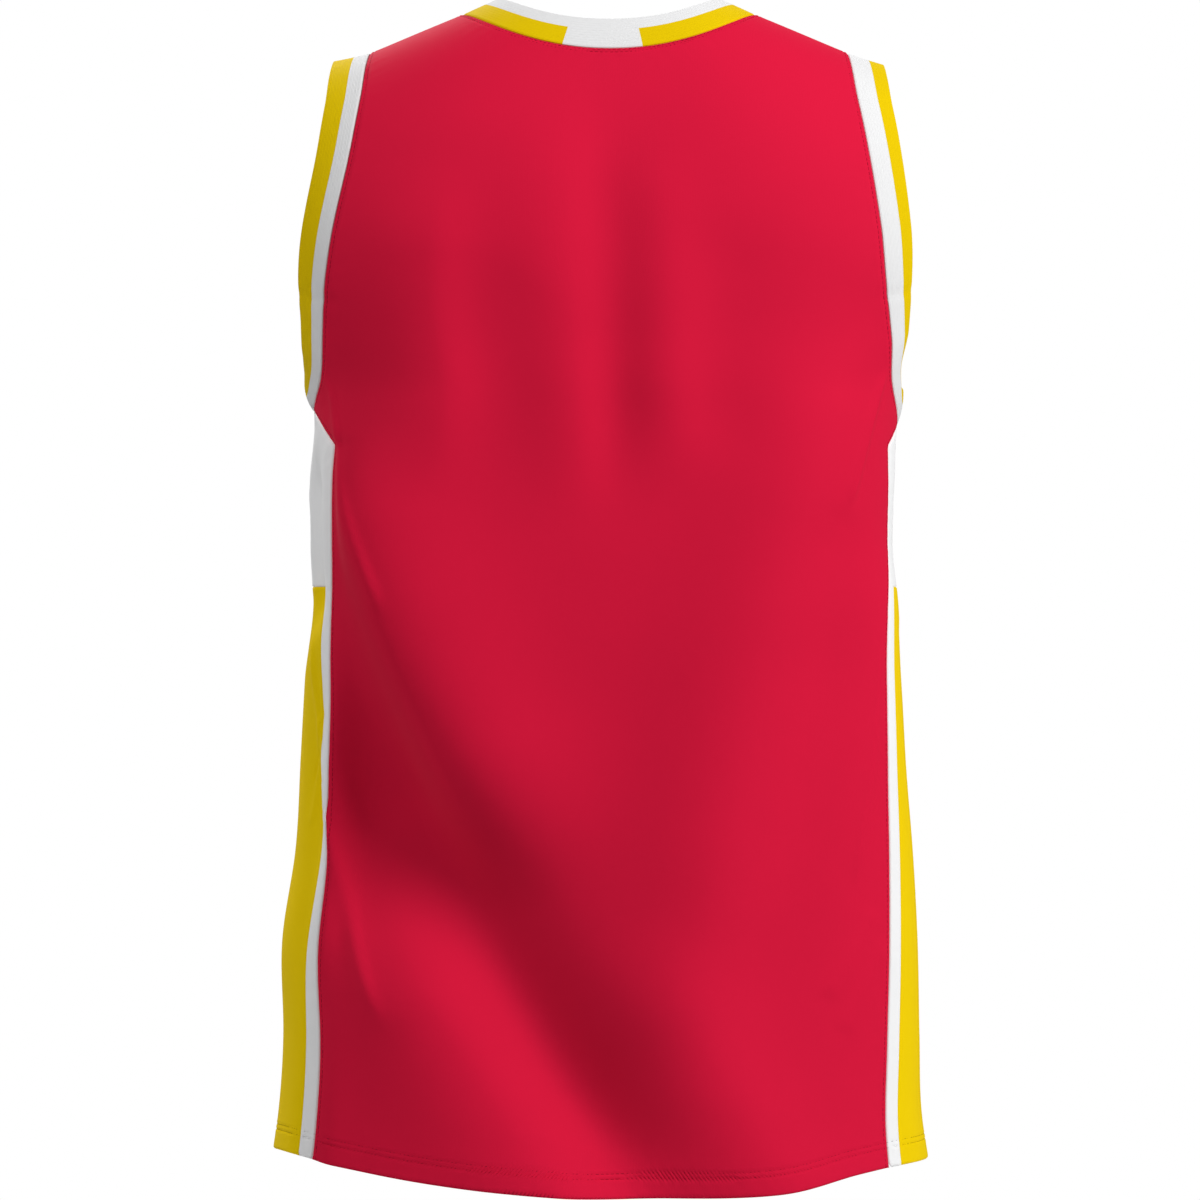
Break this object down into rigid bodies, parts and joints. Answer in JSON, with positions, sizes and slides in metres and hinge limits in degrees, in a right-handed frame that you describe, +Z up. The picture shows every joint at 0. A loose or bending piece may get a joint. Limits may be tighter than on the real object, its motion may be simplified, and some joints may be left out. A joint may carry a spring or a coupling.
{
  "type": "basketball jersey",
  "caption": "Sleeveless basketball jersey in its worn shape: red body, white and yellow side panels, striped neck and armhole bands, hollow and open at neck, armholes and hem.",
  "frame": {"origin": "where the wearer holds the jersey up: midway between the shoulders, at the height of the sides of the neck", "axes": "+Z up from the hem to the neck, -Y towards the front, +X towards the wearer's left"},
  "size_m": [0.4279, 0.278, 0.7654],
  "materials": {
    "red_knit": "matt knitted polyester",
    "white_knit": "matt knitted polyester",
    "yellow_knit": "matt knitted polyester",
    "white_rib": "matt ribbed polyester knit",
    "yellow_rib": "matt ribbed polyester knit"
  },
  "bodies": {
    "root": {"back_panel": "red_knit", "front_panel": "red_knit", "side_panel_left": "white_knit", "side_panel_right": "white_knit", "side_insert_left": "yellow_knit", "side_insert_right": "yellow_knit", "armhole_band_left": "white_rib", "armhole_band_right": "white_rib", "armhole_edge_left": "yellow_rib", "armhole_edge_right": "yellow_rib", "neck_band": "white_rib", "neck_stripe": "yellow_rib"}
  },
  "joints": []
}
